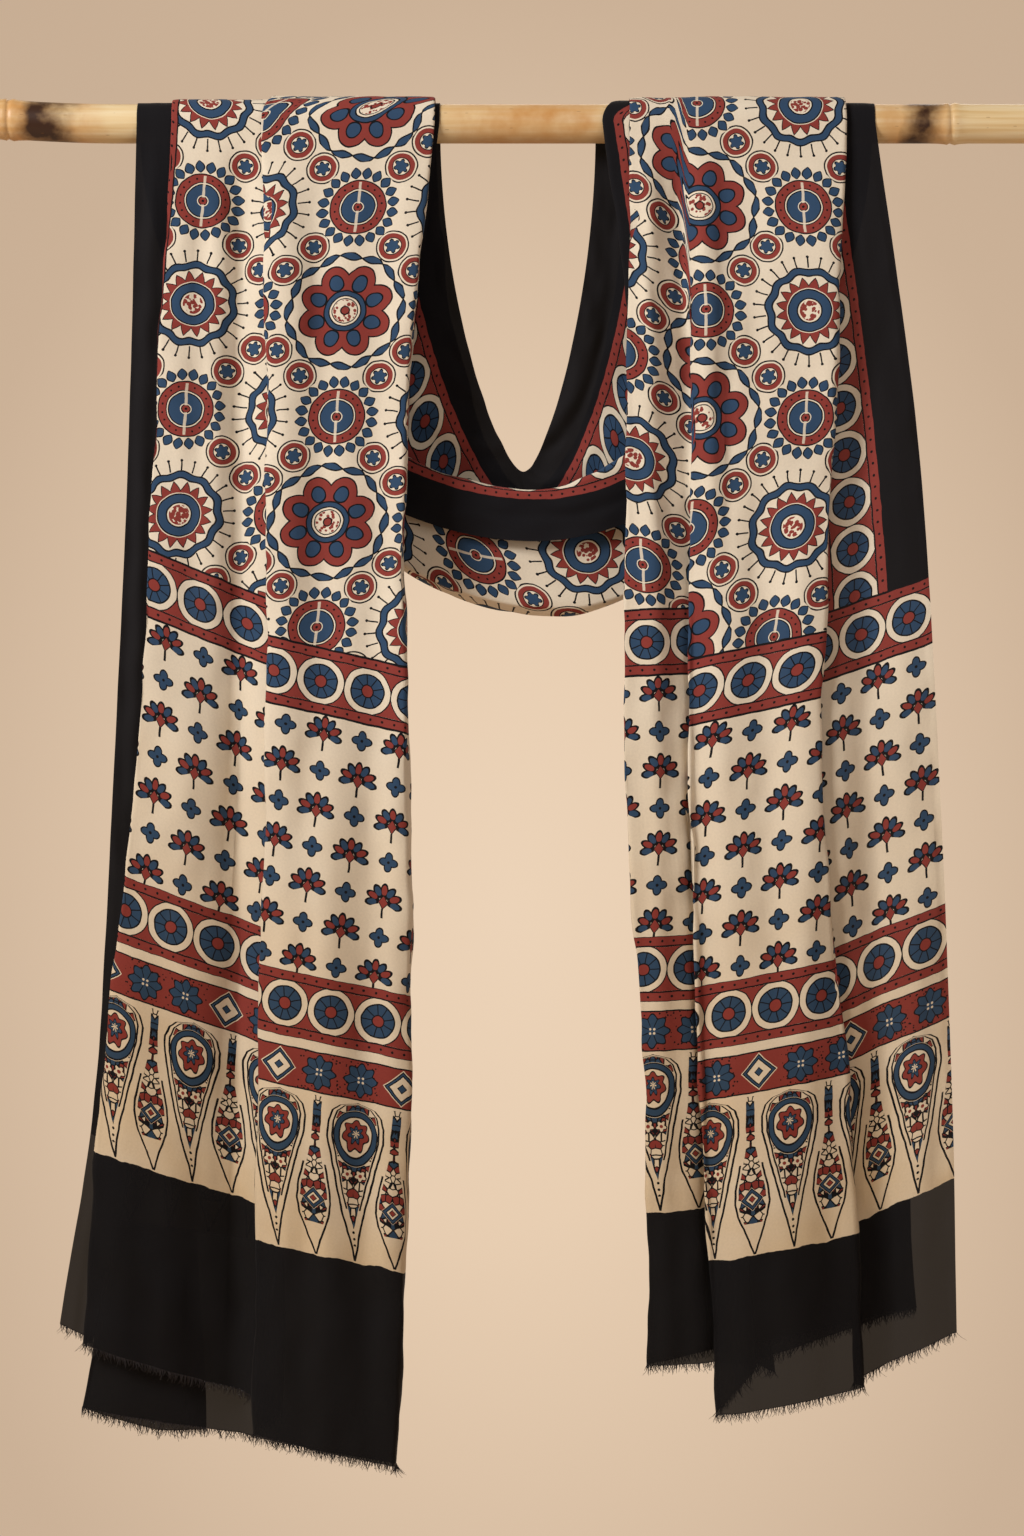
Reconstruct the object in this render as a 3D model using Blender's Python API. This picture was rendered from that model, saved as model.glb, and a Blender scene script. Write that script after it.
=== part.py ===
"""An ajrakh stole thrown over a bamboo rod: one printed cloth whose two ends hang in front and whose
middle hangs behind the rod as a swag. Metres, +Z up, the viewer on the -Y side, and the origin on the
rod's axis in the middle of its length."""

import math

import bpy
import numpy as np

MM = 0.001

ROD_LENGTH = 800 * MM
ROD_RADIUS = 13 * MM
ROD_BOW = 5 * MM  # how far the left end stands above the straight line
BOW_START = -262 * MM
ROD_SIDES = 24
ROD_STATIONS = 13  # places along the rod where its section is drawn, besides those of the rings
RING_HEIGHT = 1.2 * MM
RING_HALF_WIDTH = 6 * MM
RING_CLEAR = 3 * RING_HALF_WIDTH  # no other station stands nearer to a ring
RING_PLACES = (-335 * MM, 292 * MM)
# The raised ring at each of the bamboo's nodes, as shares of its half width and of its height.
# along, rise
RING_PROFILE = (
    (-1, 0),
    (-0.4, 0.8),
    (0, 1),
    (0.4, 0.5),
    (1, 0),
)

CLOTH_THICKNESS = 1.0 * MM
ROD_GAP = 1.0 * MM
FIRST_LAYER = ROD_RADIUS + ROD_GAP + CLOTH_THICKNESS / 2  # from the axis to the layer next to the rod
ROD_PITCH = 2.0 * MM  # from one layer to the next where the cloth lies on the rod
FALL_PITCH = 4.0 * MM  # the same where it hangs free
FREE_BELOW = 150 * MM  # how far below the axis the layers have come as far apart as they hang
FOLD_ROUND = 3.0 * MM
ROUND_MOST = 0.25  # the most that a fold's rounding takes of the shorter run beside it
FOLD_TURN = 2.5 * MM
FOLD_NEAR = 4.5 * MM  # how far from a fold the columns beside it stand
NEAR_MOST = 0.3  # and the most of the run that this may be
RUN_LEAST = 8 * MM  # what a run still takes of the turn between two layers when its folds meet
LEAST_LENGTH = 0.001 * MM  # keeps a run whose two folds meet from being divided by nought
SWAG_DROP = 1.6  # how steeply the swag leaves the rod, as a share of its fall

# How far below the axis each column of the fold tables is read. The last column is the hem.
LEVELS = (0.0, -213 * MM, -424 * MM, -648 * MM)
HANGING_FROM = 2  # the level from which the layers are the hanging ones

# One row for each fold of the left end, from the outer selvedge to the inner one. x_0 to x_3 are the
# places across at the four levels and x_hem at the hem, hem is the hem's height, and on_rod and
# hanging number the layer, counted from the rod, of the run that starts at the fold.
# behind is the fold's place at the back of the rod.
# name, x_0, x_1, x_2, x_3, x_hem, hem, on_rod, hanging, behind
LEFT_FOLDS = (
    ("outer edge", -249, -254, -263, -276, -299, -797, 0, 2, -249),
    ("tuck in", -206, -212, -219, -239, -274, -809, 1, 3, -206),
    ("tuck out", -229, -240, -251, -275, -286, -809, 2, 4, -229),
    ("crease in", -147, -143, -140, -147, -148, -852, 3, 5, -165),
    ("crease out", -169, -165, -165, -171, -173, -868, 4, 6, -150),
    ("inner fold", -48, -66, -65, -63, -73, -890, 1, 1, -48),
    ("back fold", -178, -196, -209, -252, -288, -853, 0, 0, -178),
    ("border turn", -54, -86, -120, -217, -235, -868, 0, 0, -54),
    ("inner edge", -48, -74, -104, -202, -203, -869, 0, 0, -48),
)

# The same for the right end, again from the outer selvedge to the inner one.
RIGHT_FOLDS = (
    ("outer edge", 241, 269, 282, 291, 294, -802, 0, 3, 241),
    ("tuck in", 165, 172, 185, 214, 224, -836, 1, 4, 165),
    ("tuck out", 225, 216, 207, 226, 236, -838, 4, 5, 225),
    ("crease in", 117, 116, 114, 122, 133, -858, 3.5, 4, 120),
    ("crease out", 104, 130, 150, 154, 164, -846, 3.2, 3, 105),
    ("inner fold", 75, 73, 71, 85, 87, -825, 2.4, 2, 75),
    ("back fold", 158, 164, 175, 256, 272, -786, 1.4, 1, 158),
    ("border turn", 57, 84, 100, 140, 157, -822, 0, 0, 78),
    ("inner edge", 80, 102, 118, 156, 174, -830, 0, 0, 56),
)

# The swag's lowest section, again by fold. along is its place on X, height its height, depth how far
# behind the axis the run that starts there lies, and sweep how round the swag turns at that fold.
# name, along, height, depth, sweep
SWAG_FOLDS = (
    ("outer edge", 15, -278, 2, 1.5),
    ("roll", 12, -240, 12, 1.5),
    ("lower fold", 32, -328, 45, 1.6),
    ("back", 28, -292, 48, 1.5),
    ("back", 25, -282, 51, 1.5),
    ("upper fold", 12, -241, 39, 1.2),
    ("inside fold", 25, -317, 28, 1.5),
    ("window", 8, -248, 28, 0.9),
    ("inner edge", 8, -230, 28, 0.8),
)

# Soft waves that the hanging ends grow towards the hem: place across, height of the wave, half width.
WAVES = (
    (-250, 5, 36),
    (-185, -5, 36),
    (-115, 7, 38),
    (110, -5, 34),
    (175, 7, 38),
    (245, -5, 36),
)
WAVE_TOP = -150 * MM
WAVE_FULL = -800 * MM

# How many columns of the mesh each of the eight runs has.
RUN_COLUMNS = (5, 4, 5, 4, 5, 8, 8, 3)
BESIDE_FOLD = 0.2  # a run's first and last fifth lie beside its two folds
FALL_ROWS = 17
ROD_ROWS = 6
SWAG_ROWS = 9

SHARP_ANGLE = math.radians(50)
COTTON_COLOUR, COTTON_ROUGHNESS = (0.55, 0.42, 0.3), 0.85
BAMBOO_COLOUR, BAMBOO_ROUGHNESS = (0.7, 0.55, 0.32), 0.5


def material(name, colour, roughness):
    made = bpy.data.materials.new(name)
    made.use_nodes = True
    shader = made.node_tree.nodes["Principled BSDF"]
    shader.inputs["Base Color"].default_value = (*colour, 1.0)
    shader.inputs["Roughness"].default_value = roughness
    return made


def add_mesh(name, points, faces, finish):
    """Makes one object from a list of points and a list of faces."""
    mesh = bpy.data.meshes.new(name)
    mesh.from_pydata([tuple(point) for point in points], [], faces)
    mesh.materials.append(finish)
    mesh.shade_smooth()
    mesh.set_sharp_from_angle(angle=SHARP_ANGLE)
    made = bpy.data.objects.new(name, mesh)
    bpy.context.scene.collection.objects.link(made)
    return made


def run_steps(columns):
    """The columns of each run as steps from 0 to 1, the first two on the fold and just beside it."""
    return [
        [0.0, *np.linspace(BESIDE_FOLD, 1 - BESIDE_FOLD, count - 1)] for count in columns
    ]


def share_of_run(step, length):
    """Where a column stands along its run, as a share of the run's length."""
    near = min(FOLD_NEAR / length, NEAR_MOST)
    return float(np.interp(step, (0, BESIDE_FOLD, 1 - BESIDE_FOLD, 1), (0, near, 1 - near, 1)))


def fold_rounds(lengths, ways):
    """How far each fold falls short of a sharp corner: not at all where the cloth doesn't turn back."""
    rounds = [0.0]
    for before in range(len(lengths) - 1):
        turns_back = ways[before] != ways[before + 1]
        shorter = min(lengths[before], lengths[before + 1])
        rounds.append(min(FOLD_ROUND, shorter * ROUND_MOST) if turns_back else 0.0)
    return [*rounds, 0.0]


def folded(places, layers, steps):
    """A folded section: the place across and the layer of each column, rounded at every fold."""
    moves = [there - here for here, there in zip(places, places[1:])]
    lengths = [max(abs(move), LEAST_LENGTH) for move in moves]
    ways = [math.copysign(1.0, move) for move in moves]
    rounds = fold_rounds(lengths, ways)
    turns = [max(length, RUN_LEAST) for length in lengths]
    folds = np.concatenate([[0.0], np.cumsum(turns)])
    across, depth = [], []
    for run, length in enumerate(lengths):
        for step in (*steps[run], 1.0) if run == len(lengths) - 1 else steps[run]:
            share = share_of_run(step, length)
            start, end = share * length, (1 - share) * length
            short_start = math.hypot(start, rounds[run]) - start
            short_end = math.hypot(end, rounds[run + 1]) - end
            across.append(places[run] + ways[run] * (start + short_start - short_end))
            here = folds[run] + share * turns[run]
            passed = 0.5 + 0.5 * np.tanh((here - folds[1:-1]) / FOLD_TURN)
            depth.append(layers[0] + float(np.dot(passed, np.diff(layers[:-1]))))
    return np.array(across), np.array(depth)


def along_runs(places, values, steps):
    """Values given at the folds, read at each column."""
    at = []
    for run in range(len(places) - 1):
        length = max(abs(places[run + 1] - places[run]), LEAST_LENGTH)
        at += [run + share_of_run(step, length) for step in steps[run]]
    return np.interp([*at, len(places) - 1], range(len(values)), values)


def smooth_step(value):
    held = np.clip(value, 0.0, 1.0)
    return held * held * (3 - 2 * held)


def wave(across, height):
    """How far the soft waves bring the cloth towards the viewer."""
    grown = smooth_step((WAVE_TOP - height) / (WAVE_TOP - WAVE_FULL))
    total = np.zeros_like(across)
    for place, rise, half in WAVES:
        total += rise * MM * np.exp(-(((across - place * MM) / (half * MM)) ** 2))
    return grown * total


def through(levels, rows, height):
    """A smooth curve through the values that the levels give, read at each column's height."""
    slopes = [(rows[1] - rows[0]) / (levels[1] - levels[0])]
    for at in range(1, len(rows) - 1):
        slopes.append((rows[at + 1] - rows[at - 1]) / (levels[at + 1] - levels[at - 1]))
    slopes.append((rows[-1] - rows[-2]) / (levels[-1] - levels[-2]))
    result = np.array(rows[-1], dtype=float)
    for at in range(len(rows) - 1):
        span = levels[at + 1] - levels[at]
        share = (height - levels[at]) / span
        inside = (share >= 0) & (share <= 1)
        t = np.clip(share, 0, 1)
        value = (
            rows[at] * (1 + 2 * t) * (1 - t) ** 2
            + rows[at + 1] * t * t * (3 - 2 * t)
            + slopes[at] * span * t * (1 - t) ** 2
            - slopes[at + 1] * span * t * t * (1 - t)
        )
        result = np.where(inside, value, result)
    return result


def hanging_end(folds, steps, rows):
    """The part of the cloth in front of the rod, as rows of points from the hem up to the axis."""
    sections = []
    for level in range(len(LEVELS) + 1):
        places = [row[1 + level] * MM for row in folds]
        hang = min(level, HANGING_FROM) / HANGING_FROM
        layers = [row[7] * (1 - hang) + row[8] * hang for row in folds]
        sections.append(folded(places, layers, steps))
    hems = along_runs([row[5] * MM for row in folds], [row[6] * MM for row in folds], steps)
    levels = [np.full_like(hems, level) for level in LEVELS] + [hems]
    rows_made = []
    for share in np.linspace(1.0, 0.0, rows):
        height = hems * share
        across = through(levels, [section[0] for section in sections], height)
        layer = through(levels, [section[1] for section in sections], height)
        free = smooth_step(-height / FREE_BELOW)
        pitch = ROD_PITCH + (FALL_PITCH - ROD_PITCH) * free
        away = FIRST_LAYER + pitch * layer
        rows_made.append(np.stack([across, -away - wave(across, height), height], axis=1))
    return rows_made


def over_rod(folds, steps, rows):
    """The cloth on the rod's upper half, as rows of points from the front to the back."""
    made = []
    for share in np.linspace(0, 1, rows + 1)[1:]:
        places = [(row[1] * (1 - share) + row[9] * share) * MM for row in folds]
        across, layer = folded(places, [row[7] for row in folds], steps)
        away = FIRST_LAYER + ROD_PITCH * layer
        angle = math.pi * share
        made.append(np.stack([across, -away * math.cos(angle), away * math.sin(angle)], axis=1))
    return made


def swag_middle(steps):
    """The swag's lowest section as one row of points, with the sweep of each column."""
    heights = [row[2] * MM for row in SWAG_FOLDS]
    height, depth = folded(heights, [row[3] * MM for row in SWAG_FOLDS], steps)
    along = along_runs(heights, [row[1] * MM for row in SWAG_FOLDS], steps)
    sweep = along_runs(heights, [row[4] for row in SWAG_FOLDS], steps)
    return np.stack([along, depth, height], axis=1), sweep


def swag_half(crossing, middle, sweep, rows):
    """Rows of points from the back of the rod, where the cloth drops straight down, to the middle."""
    reach = middle - crossing
    start = np.zeros_like(reach)
    start[:, 2] = SWAG_DROP * reach[:, 2]
    end = np.zeros_like(reach)
    end[:, 0] = sweep * reach[:, 0]
    made = []
    for t in np.linspace(0, 1, rows + 1)[1:]:
        made.append(
            crossing * (1 + 2 * t) * (1 - t) ** 2
            + middle * t * t * (3 - 2 * t)
            + start * t * (1 - t) ** 2
            - end * t * t * (1 - t)
        )
    return made


def cloth_rows(steps, fall_rows, rod_rows, swag_rows):
    """The whole cloth as rows of points from the left hem to the right hem."""
    left = hanging_end(LEFT_FOLDS, steps, fall_rows) + over_rod(LEFT_FOLDS, steps, rod_rows)
    right = hanging_end(RIGHT_FOLDS, steps, fall_rows) + over_rod(RIGHT_FOLDS, steps, rod_rows)
    middle, sweep = swag_middle(steps)
    left += swag_half(left[-1], middle, sweep, swag_rows)
    right += swag_half(right[-1], middle, sweep, swag_rows)[:-1]
    return left + right[::-1]


def grid_normals(grid):
    """The direction square to a grid of points, at each point."""
    normals = np.cross(np.gradient(grid, axis=0), np.gradient(grid, axis=1))
    return normals / np.linalg.norm(normals, axis=2, keepdims=True)


def thick_sheet(name, grid, finish):
    """A closed solid of the cloth's thickness, half on each side of a grid of points."""
    count_v, count_u = grid.shape[:2]
    offset = grid_normals(grid) * CLOTH_THICKNESS / 2
    points = np.concatenate([(grid + offset).reshape(-1, 3), (grid - offset).reshape(-1, 3)])
    under = count_v * count_u
    faces = []
    for v in range(count_v - 1):
        for u in range(count_u - 1):
            a, b = v * count_u + u, v * count_u + u + 1
            c, d = b + count_u, a + count_u
            faces.append((d, c, b, a))
            faces.append((under + a, under + b, under + c, under + d))
    rim = [v * count_u for v in range(count_v)]
    rim += [(count_v - 1) * count_u + u for u in range(1, count_u)]
    rim += [v * count_u + count_u - 1 for v in range(count_v - 2, -1, -1)]
    rim += list(range(count_u - 2, 0, -1))
    for here, there in zip(rim, rim[1:] + rim[:1]):
        faces.append((there, here, under + here, under + there))
    made = add_mesh(name, points, faces, finish)
    volume = sum(
        face.normal.dot(face.center) * face.area for face in made.data.polygons
    )
    if volume < 0:
        made.data.flip_normals()
    return made


def rod_stations():
    """Places along the rod with the radius there, closer together at the two node rings."""
    half = ROD_LENGTH / 2
    stations = [
        (place, ROD_RADIUS) for place in np.linspace(-half, half, ROD_STATIONS)
        if all(abs(place - ring) > RING_CLEAR for ring in RING_PLACES)
    ]
    for ring in RING_PLACES:
        for along, rise in RING_PROFILE:
            stations.append((ring + along * RING_HALF_WIDTH, ROD_RADIUS + rise * RING_HEIGHT))
    return sorted(stations)


def rod_height(place):
    """The bamboo's own bow: level under the cloth, rising a little towards its left end."""
    return ROD_BOW * smooth_step((place - BOW_START) / (-ROD_LENGTH / 2 - BOW_START))


def bamboo_rod(finish):
    points, faces = [], []
    stations = rod_stations()
    for place, radius in stations:
        for side in range(ROD_SIDES):
            turn = 2 * math.pi * side / ROD_SIDES
            rise = rod_height(place)
            points.append((place, radius * math.cos(turn), rise + radius * math.sin(turn)))
    for row in range(len(stations) - 1):
        for side in range(ROD_SIDES):
            a, b = row * ROD_SIDES + side, row * ROD_SIDES + (side + 1) % ROD_SIDES
            faces.append((a, b, b + ROD_SIDES, a + ROD_SIDES))
    faces.append(tuple(reversed(range(ROD_SIDES))))
    last = (len(stations) - 1) * ROD_SIDES
    faces.append(tuple(range(last, last + ROD_SIDES)))
    return add_mesh("bamboo_rod", points, faces, finish)


def main():
    for left_over in list(bpy.data.objects):
        bpy.data.objects.remove(left_over)
    printed_cotton = material("printed_cotton", COTTON_COLOUR, COTTON_ROUGHNESS)
    bamboo = material("bamboo", BAMBOO_COLOUR, BAMBOO_ROUGHNESS)
    grid = np.array(cloth_rows(run_steps(RUN_COLUMNS), FALL_ROWS, ROD_ROWS, SWAG_ROWS))
    thick_sheet("ajrakh_cloth", grid, printed_cotton)
    bamboo_rod(bamboo)


main()
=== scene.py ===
import functools
import math

import bpy
import numpy as np
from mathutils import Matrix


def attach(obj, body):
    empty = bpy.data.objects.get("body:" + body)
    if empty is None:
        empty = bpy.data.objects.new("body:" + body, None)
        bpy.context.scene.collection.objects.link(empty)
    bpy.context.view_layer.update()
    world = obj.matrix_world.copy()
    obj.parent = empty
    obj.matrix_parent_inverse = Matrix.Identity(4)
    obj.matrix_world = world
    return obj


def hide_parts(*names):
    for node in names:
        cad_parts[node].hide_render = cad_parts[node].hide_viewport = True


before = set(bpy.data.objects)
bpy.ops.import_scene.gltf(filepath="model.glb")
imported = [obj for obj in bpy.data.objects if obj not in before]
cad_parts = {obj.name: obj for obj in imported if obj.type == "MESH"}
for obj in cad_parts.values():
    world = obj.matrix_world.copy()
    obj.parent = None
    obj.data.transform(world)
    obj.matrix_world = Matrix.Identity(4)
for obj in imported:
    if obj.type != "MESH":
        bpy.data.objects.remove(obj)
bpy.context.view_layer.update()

MM = 0.001

# The camera stands straight in front. One pixel of the photograph is PHOTO_SCALE wide at the cloth.
PHOTO_SCALE = 0.66 * MM
PHOTO_WIDTH, PHOTO_HEIGHT = 1024, 1536
ROD_AXIS_PIXEL = 117.5
CAMERA_AWAY = 3.0
CLOTH_FRONT = -0.03
SENSOR = 36.0

# The studio: the floor is out of the camera's sight, and the room in front is dimmer than the backdrop.
FLOOR_HEIGHT = -2.2
FLOOR_REACH = 6.0
ROOM_LEVEL = 0.42
# name, place, size in metres, watts, colour
LIGHTS = (
    ("key", (-2.3, -2.0, 1.3), 1.2, 104, (1.0, 0.985, 0.96)),
    ("fill", (2.0, -2.3, 0.1), 1.8, 14, (0.96, 0.98, 1.0)),
    ("back", (0.6, 2.2, 1.0), 1.6, 14, (1.0, 0.97, 0.93)),
)

# The cane.
ROD_RADIUS = 13 * MM
ROD_LENGTH = 800 * MM
ROD_BOW = 5 * MM
BOW_START = -262 * MM
RING_PLACES = (-335 * MM, 292 * MM)
# The ridge and groove at each node: along, rise.
RING_SHAPE = (
    (-14, 0), (-8, 0.15), (-4, 0.5), (-2, 0.9), (-1, 0.2), (0, -0.1), (1, 0.4), (3, 1.0), (6, 0.4), (12, 0))

# The cloth's lie. The fold tables are the solid's own, but for two rows: the left tuck is up to 4 mm
# deeper here, so that the border's stripe stays inside it, and the hem at the right "crease out" is
# 24 mm higher, so that the bands beside it rise to the right. The layers lie closer together on the rod,
# because this cloth is thin.
FIRST_LAYER = ROD_RADIUS + 0.8 * MM
ROD_PITCH = 1.1 * MM
FALL_PITCH = 4.0 * MM
FREE_BELOW = 150 * MM
FOLD_ROUND = 3.0 * MM
ROUND_MOST = 0.25
FOLD_TURN = 2.5 * MM
FOLD_NEAR = 6.0 * MM
NEAR_MOST = 0.3
RUN_LEAST = 8 * MM
LEAST_LENGTH = 0.001 * MM
SWAG_DROP = 1.6
BESIDE_FOLD = 0.25
LEVELS = (0.0, -213 * MM, -424 * MM, -648 * MM)
HANGING_FROM = 2

# One row for each fold of the left end, from the outer selvedge to the inner one.
# name, x_0, x_1, x_2, x_3, x_hem, hem, on_rod, hanging, behind
LEFT_FOLDS = (
    ("outer edge", -249, -254, -263, -276, -299, -797, 0, 2, -249),
    ("tuck in", -202, -209, -218, -239, -274, -809, 1, 3, -202),
    ("tuck out", -229, -240, -251, -275, -286, -809, 2, 4, -229),
    ("crease in", -147, -143, -140, -147, -148, -852, 3, 5, -165),
    ("crease out", -169, -165, -165, -171, -173, -868, 4, 6, -150),
    ("inner fold", -48, -66, -65, -63, -73, -890, 1, 1, -48),
    ("back fold", -178, -196, -209, -252, -288, -853, 0, 0, -178),
    ("border turn", -54, -86, -120, -217, -235, -868, 0, 0, -54),
    ("inner edge", -48, -74, -104, -202, -203, -869, 0, 0, -48),
)
RIGHT_FOLDS = (
    ("outer edge", 241, 269, 282, 291, 294, -802, 0, 3, 241),
    ("tuck in", 165, 172, 185, 214, 224, -836, 1, 4, 165),
    ("tuck out", 225, 216, 207, 226, 236, -838, 4, 5, 225),
    ("crease in", 117, 116, 114, 122, 133, -858, 3.5, 4, 120),
    ("crease out", 104, 130, 150, 154, 164, -822, 3.2, 3, 105),
    ("inner fold", 75, 73, 71, 85, 87, -825, 2.4, 2, 75),
    ("back fold", 158, 164, 175, 256, 272, -786, 1.4, 1, 158),
    ("border turn", 57, 84, 100, 140, 157, -822, 0, 0, 78),
    ("inner edge", 80, 102, 118, 156, 174, -830, 0, 0, 56),
)
# name, along, height, depth, sweep
SWAG_FOLDS = (
    ("outer edge", 15, -278, 2, 1.5),
    ("roll", 12, -240, 12, 1.5),
    ("lower fold", 32, -328, 45, 1.6),
    ("back", 28, -292, 48, 1.5),
    ("back", 25, -282, 51, 1.5),
    ("upper fold", 12, -241, 39, 1.2),
    ("inside fold", 25, -317, 28, 1.5),
    ("window", 8, -248, 28, 0.9),
    ("inner edge", 8, -230, 28, 0.8),
)
# Soft waves: place across, height of the wave, half width.
WAVES = (
    (-250, 5, 36),
    (-185, -5, 36),
    (-115, 7, 38),
    (110, -5, 34),
    (175, 7, 38),
    (245, -5, 36),
)
WAVE_TOP = -150 * MM
WAVE_FULL = -800 * MM

# The creases are full from this far below the axis, and stand out this many times their rise.
CREASED_BELOW = 80 * MM
CREASE_DEPTH = 1.25
HEMS_ABOUT = -870 * MM
# Fine creases in the hanging ends: place across at the rod and at the hem, where it starts and ends,
# how far it stands out, and its half width. The first of each end is the trough beside its deep fold.
# at_rod, at_hem, top, bottom, rise, half
CREASES = (
    (-180, -184, 20, -900, -10.0, 9),
    (-152, -150, 0, -900, 4.0, 13),
    (-238, -262, 0, -420, 1.8, 5),
    (-203, -226, 0, -340, -3.0, 9),
    (-128, -118, 0, -420, -2.6, 10),
    (-88, -96, 0, -870, -3.4, 13),
    (-112, -128, -420, -870, 3.0, 12),
    (-66, -84, -200, -870, 2.6, 10),
    (-205, -222, -380, -860, 3.0, 12),
    (-235, -262, -500, -860, 2.6, 11),
    (-190, -212, -640, -860, -3.0, 12),
    (-120, -140, -700, -880, -3.4, 12),
    (109, 138, 20, -900, -9.0, 8),
    (88, 104, 0, -860, 3.0, 7),
    (100, 120, 0, -420, -3.0, 6),
    (127, 138, 0, -330, 3.0, 6),
    (140, 152, 0, -280, -3.0, 6),
    (158, 176, 0, -860, -3.6, 12),
    (190, 200, -230, -860, 3.4, 12),
    (222, 252, -150, -860, -4.5, 11),
    (206, 232, 0, -500, 2.4, 10),
    (250, 275, -500, -860, 3.0, 10),
    (150, 180, -560, -860, 3.6, 11),
    (178, 206, -620, -860, -3.4, 12),
)

RUN_COLUMNS = 26
FALL_ROWS = 150
ROD_ROWS = 16
SWAG_ROWS = 70

# The cloth as cut, and its print, in millimetres. Heights are measured up from the black end's top.
CLOTH_LENGTH = 2466
BLACK_END_LEFT = 129
BLACK_END_RIGHT = 101
DROPS_TOP = 106
FLOWER_BAND_TOP = 133
CREAM_LINE_TOP = 139
LOWER_BAND_TOP = 182
SPRAYS_TOP = 354
UPPER_BAND_TOP = 399
BLACK_EDGE = 28
THREAD_PITCH = 0.83
SIDE_BAND = 44
# The field's motifs stand on a lattice that begins at one of the suns of the left end. Their rows hang
# nearly level although the hems slant, so the lattice leans against the hems, and the lean changes
# from one end to the other along the swag.
FIELD_ACROSS, FIELD_ALONG = 68.5, 70.9
FIRST_SUN = (92, 700)
LEAN_RIGHT = 0.19
# The left end's lean: across the cloth from, to, and the rise of the motif rows over that stretch.
# The middle stretch is the cloth inside the deep fold.
LEAN_LEFT = (
    (-92, 44, -53),
    (44, 86, -25),
    (86, 470, -84),
)
SWAG_START, SWAG_END = 930, 1540
DISC_REACH, FLOWER_REACH, SUN_REACH = 27.4, 39.9, 37.6


def linear(hex_colour):
    """An sRGB hex colour as linear red, green, blue and alpha."""
    parts = [int(hex_colour[at:at + 2], 16) / 255 for at in (1, 3, 5)]
    return (*(p / 12.92 if p <= 0.04045 else ((p + 0.055) / 1.055) ** 2.4 for p in parts), 1.0)


CREAM = linear("#E4D8C4")
MADDER = linear("#8A3B35")
INDIGO = linear("#314A68")
BLACK = linear("#131216")
LINE = 0.5


def add(tree, kind, *values, out=0, stops=None, **settings):
    """Adds a node with its settings, and links or sets its inputs in order. A second word of the kind is
    the node's operation."""
    kind, _, operation = kind.partition(" ")
    node = tree.nodes.new("ShaderNode" + kind)
    if operation:
        node.operation = operation
    for name, value in settings.items():
        setattr(node, name, value)
    for socket, value in zip(node.inputs, values):
        if isinstance(value, bpy.types.NodeSocket):
            tree.links.new(value, socket)
        elif value is not None:
            socket.default_value = value
    if stops:
        ramp = node.color_ramp
        while len(ramp.elements) < len(stops):
            ramp.elements.new(0.5)
        for element, (place, colour) in zip(ramp.elements, stops):
            element.position = place
            element.color = colour
    return node.outputs[out]


def new_material(name):
    """An empty material with its shader and output, and the function that adds nodes to it."""
    made = bpy.data.materials.new(name)
    made.use_nodes = True
    tree = made.node_tree
    return made, tree, functools.partial(add, tree), tree.nodes["Principled BSDF"]


def rings(put, radius, bands):
    """A colour for each stretch of radius in millimetres: bands holds (start, colour) rows. The last row
    starts where the rest of the ground begins."""
    reach = bands[-1][0] * 1.05
    share = put("Math DIVIDE", radius, reach)
    ramp = put("ValToRGB", share, stops=[(start / reach, colour) for start, colour in bands])
    ramp.node.color_ramp.interpolation = "CONSTANT"
    return ramp


def lobes(put, angle, radius, count, turn=0.0):
    """How far a point is from the middle of its lobe, in millimetres round the circle, and the lobe's number."""
    turns = put("Math MULTIPLY_ADD", angle, count / math.tau, count * (1 + turn))
    inside = put("Math FLOORED_MODULO", turns, 1.0)
    middle = put("Math SUBTRACT", inside, 0.5)
    arc = put("Math MULTIPLY", radius, math.tau / count)
    return put("Math MULTIPLY", middle, arc), put("Math FLOOR", turns)


def outlined(put, ground, distance, colour, line=LINE):
    """Fills where distance is below nought, with a black line of half width line along its edge."""
    inside = put("Math LESS_THAN", distance, 0.0)
    edge = put("Math COMPARE", distance, 0.0, line)
    filled = put("MixRGB", inside, ground, colour)
    return put("MixRGB", edge, filled, BLACK)


def cell(put, across, along, pitch_across, pitch_along):
    """Place in a repeat of these pitches, measured from the repeat's middle, and the repeat's numbers."""
    places, numbers = [], []
    for value, pitch in ((across, pitch_across), (along, pitch_along)):
        steps = put("Math DIVIDE", value, pitch)
        number = put("Math FLOOR", steps)
        share = put("Math SUBTRACT", steps, number)
        places.append(put("Math MULTIPLY_ADD", share, pitch, -pitch / 2))
        numbers.append(number)
    return (*places, *numbers)


def polar(put, across, along):
    """Radius and angle of a place."""
    square = put("Math MULTIPLY", across, across)
    total = put("Math MULTIPLY_ADD", along, along, square)
    return put("Math SQRT", total), put("Math ARCTAN2", along, across)


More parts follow.
